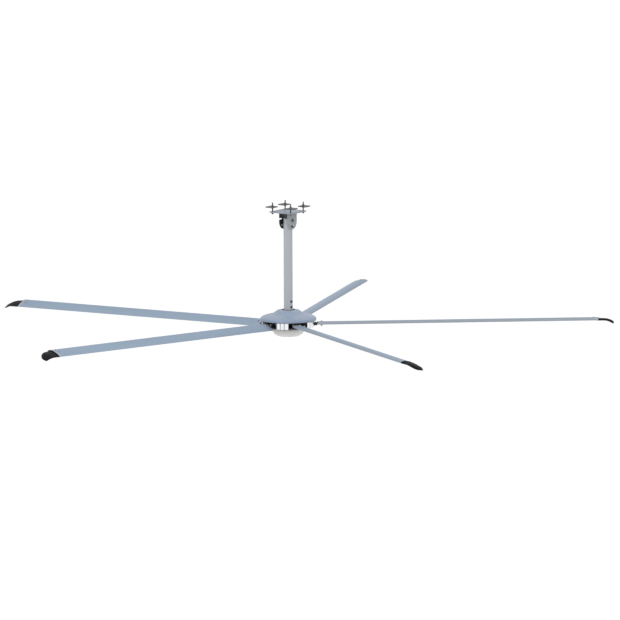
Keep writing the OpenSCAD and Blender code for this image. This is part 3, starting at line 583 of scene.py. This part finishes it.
def weld_beads():
    """One ripple is cut to the corner it fills, repeated along the seam, and mirrored to the other plate."""
    bpy.ops.object.select_all(action="DESELECT")
    bpy.ops.mesh.primitive_uv_sphere_add(
        segments=16, ring_count=10, radius=BEAD_RADIUS, location=(WELD_FACE, -WELD_HALF_LENGTH, WELD_TOP)
    )
    beads = bpy.context.object
    beads.name = "weld_beads"
    bpy.ops.object.mode_set(mode="EDIT")
    bpy.ops.mesh.select_all(action="SELECT")
    bpy.ops.transform.resize(value=(1.0, 0.5, 1.0))
    bpy.ops.object.mode_set(mode="OBJECT")
    bpy.ops.object.transform_apply(location=True)
    bpy.ops.object.mode_set(mode="EDIT")
    for place, outward in (
        ((WELD_FACE - BEAD_SUNK, 0, 0), (1, 0, 0)),
        ((0, 0, WELD_TOP + BEAD_SUNK), (0, 0, -1)),
    ):
        bpy.ops.mesh.select_all(action="SELECT")
        bpy.ops.mesh.bisect(plane_co=place, plane_no=outward, clear_inner=True, use_fill=True)
    bpy.ops.object.mode_set(mode="OBJECT")
    seam = beads.modifiers.new("seam", "ARRAY")
    seam.use_relative_offset = False
    seam.use_constant_offset = True
    seam.constant_offset_displace = (0, BEAD_PITCH, 0)
    seam.count = int(2 * WELD_HALF_LENGTH / BEAD_PITCH) + 1
    bpy.ops.object.modifier_apply(modifier="seam")
    beads.modifiers.new("other_plate", "MIRROR")
    bpy.ops.object.modifier_apply(modifier="other_plate")
    bpy.ops.object.mode_set(mode="EDIT")
    bpy.ops.mesh.select_all(action="SELECT")
    bpy.ops.mesh.normals_make_consistent(inside=False)
    bpy.ops.object.mode_set(mode="OBJECT")
    shade(beads, 50, False)
    beads.data.materials.append(materials["mount_paint"])
    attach(beads, "mount")


weld_beads()


# Stage: a pale floor far below the fan, white to the camera apart from the fan's shadow
def stage_floor(height, side):
    bpy.ops.object.select_all(action="DESELECT")
    bpy.ops.mesh.primitive_plane_add(size=side, location=(0, 0, height))
    floor = bpy.context.object
    floor.name = "floor"
    f = Finish("pale_floor", (FLOOR_SHADE, FLOOR_SHADE, FLOOR_SHADE), 0.9)
    glow = f.add(
        "ShaderNodeEmission", {},
        {"Color": (1.0, 1.0, 1.0), "Strength": f.looking() * (1.0 - FLOOR_SHADE * STUDIO_LIGHT)},
    )
    lit = f.add("ShaderNodeAddShader", {}, [f.surface, glow])
    from_below = f.add("ShaderNodeNewGeometry", {}, [], "Backfacing")
    clear = f.add("ShaderNodeBsdfTransparent", {}, [])
    f.plug(f.output.inputs["Surface"], f.add("ShaderNodeMixShader", {}, [from_below, lit, clear]))
    floor.data.materials.append(f.material)


stage_floor(-4.2, 80)

world = bpy.data.worlds.new("studio")
bpy.context.scene.world = world
world.use_nodes = True
sky = Graph(world.node_tree)
white = sky.add(
    "ShaderNodeBackground", {},
    {"Color": (1.0, 1.0, 1.0), "Strength": sky.looking() * (1.0 - STUDIO_LIGHT) + STUDIO_LIGHT},
)
sky.node("ShaderNodeOutputWorld", {}, {"Surface": white})


def soft_lamp(name, place, aim, side, power):
    bpy.ops.object.light_add(type="AREA", location=place)
    lamp = bpy.context.object
    lamp.name = name
    lamp.data.shape = "SQUARE"
    lamp.data.size = side
    lamp.data.energy = power
    lamp.rotation_mode = "QUATERNION"
    lamp.rotation_quaternion = (Vector(aim) - Vector(place)).to_track_quat("-Z", "Y")


soft_lamp("key_lamp", (-1.0, -7.0, 5.0), (0, 0, -1.0), 5.0, 260.0)
soft_lamp("fill_lamp", (7.5, 1.0, 2.5), (0, 0, -1.0), 5.0, 120.0)

# Camera: the photograph looks from 8 degrees above, almost without perspective
AZIMUTH = math.radians(35)
ELEVATION = math.radians(8.0)
ROLL = math.radians(0.24)
M_PER_PIXEL = 0.0093
FRAME_PIXELS = 620
# The hub's blade plane is seen at this pixel of the frame
HUB_PIXEL = (288.3, 324.2)
CAMERA_DISTANCE = 14
right = Vector((math.cos(AZIMUTH), math.sin(AZIMUTH), 0))
back = Vector((
    math.sin(AZIMUTH) * math.cos(ELEVATION),
    -math.cos(AZIMUTH) * math.cos(ELEVATION),
    math.sin(ELEVATION),
))
up = back.cross(right)
shift_right = (FRAME_PIXELS / 2 - HUB_PIXEL[0]) * M_PER_PIXEL
shift_up = (HUB_PIXEL[1] - FRAME_PIXELS / 2) * M_PER_PIXEL
centre = Vector((0, 0, BLADE_PLANE)) + right * shift_right + up * shift_up
bpy.ops.object.camera_add(location=centre + back * CAMERA_DISTANCE)
camera = bpy.context.object
camera.name = "photo_camera"
camera.data.type = "ORTHO"
camera.data.ortho_scale = FRAME_PIXELS * M_PER_PIXEL
camera.data.clip_end = 200
camera.rotation_mode = "QUATERNION"
facing = Matrix((right, up, back)).transposed().to_quaternion()
camera.rotation_quaternion = facing @ Matrix.Rotation(-ROLL, 3, "Z").to_quaternion()
bpy.context.scene.camera = camera
bpy.context.scene.view_settings.view_transform = "Standard"
